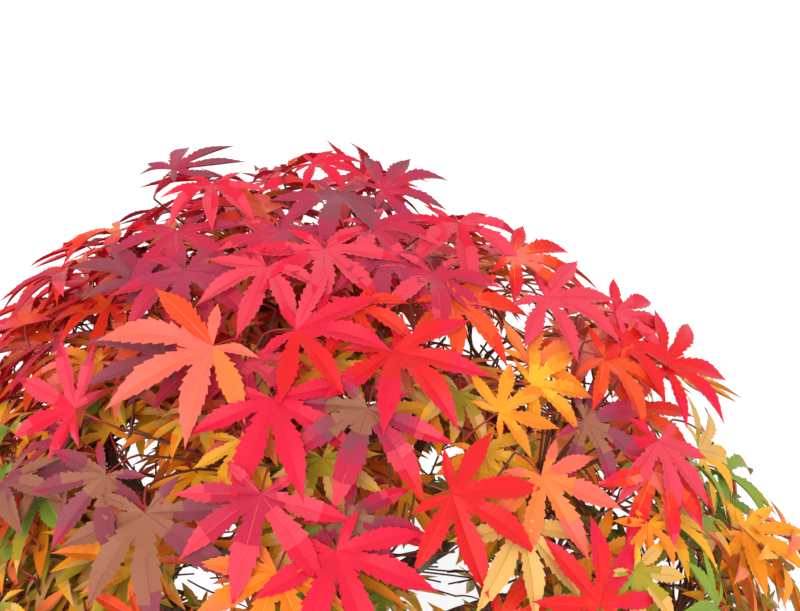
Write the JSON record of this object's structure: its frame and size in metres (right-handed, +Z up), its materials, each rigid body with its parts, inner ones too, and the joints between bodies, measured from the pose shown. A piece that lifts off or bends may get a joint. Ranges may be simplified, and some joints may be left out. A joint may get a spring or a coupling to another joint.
{
  "type": "japanese maple bonsai",
  "caption": "Potted dwarf maple with a curved tapering trunk, spreading boughs and a domed crown of red, pink, orange and gold lobed leaves in an oval pot.",
  "frame": {"origin": "centre of the pot's flat underside, on the surface that it stands on", "axes": "+Z up, front of the tree towards -Y, long side of the oval pot along X"},
  "size_m": [0.447, 0.4159, 0.4864],
  "materials": {
    "pot": "satin",
    "soil": "matte",
    "bark": "matte",
    "leaves_high": "satin",
    "leaves_low": "satin"
  },
  "bodies": {
    "root": {"pot": "pot", "soil": "soil", "trunk": "bark", "bough_upper_front": "bark", "bough_upper_right": "bark", "bough_upper_back_right": "bark", "bough_upper_back_left": "bark", "bough_upper_left": "bark", "bough_lower_right": "bark", "bough_lower_left": "bark", "bough_lower_back": "bark", "bough_lower_back_right": "bark", "bough_lower_front_right": "bark", "bough_lower_front_left": "bark", "bough_lower_back_left": "bark", "foliage_top": "leaves_high", "foliage_upper_front": "leaves_high", "foliage_upper_right": "leaves_high", "foliage_upper_back_right": "leaves_high", "foliage_upper_back_left": "leaves_high", "foliage_upper_left": "leaves_high", "foliage_lower_right": "leaves_low", "foliage_lower_left": "leaves_low", "foliage_lower_back": "leaves_low", "foliage_lower_back_right": "leaves_low", "foliage_lower_front_right": "leaves_low", "foliage_lower_front_left": "leaves_low", "foliage_lower_back_left": "leaves_low"}
  },
  "joints": []
}
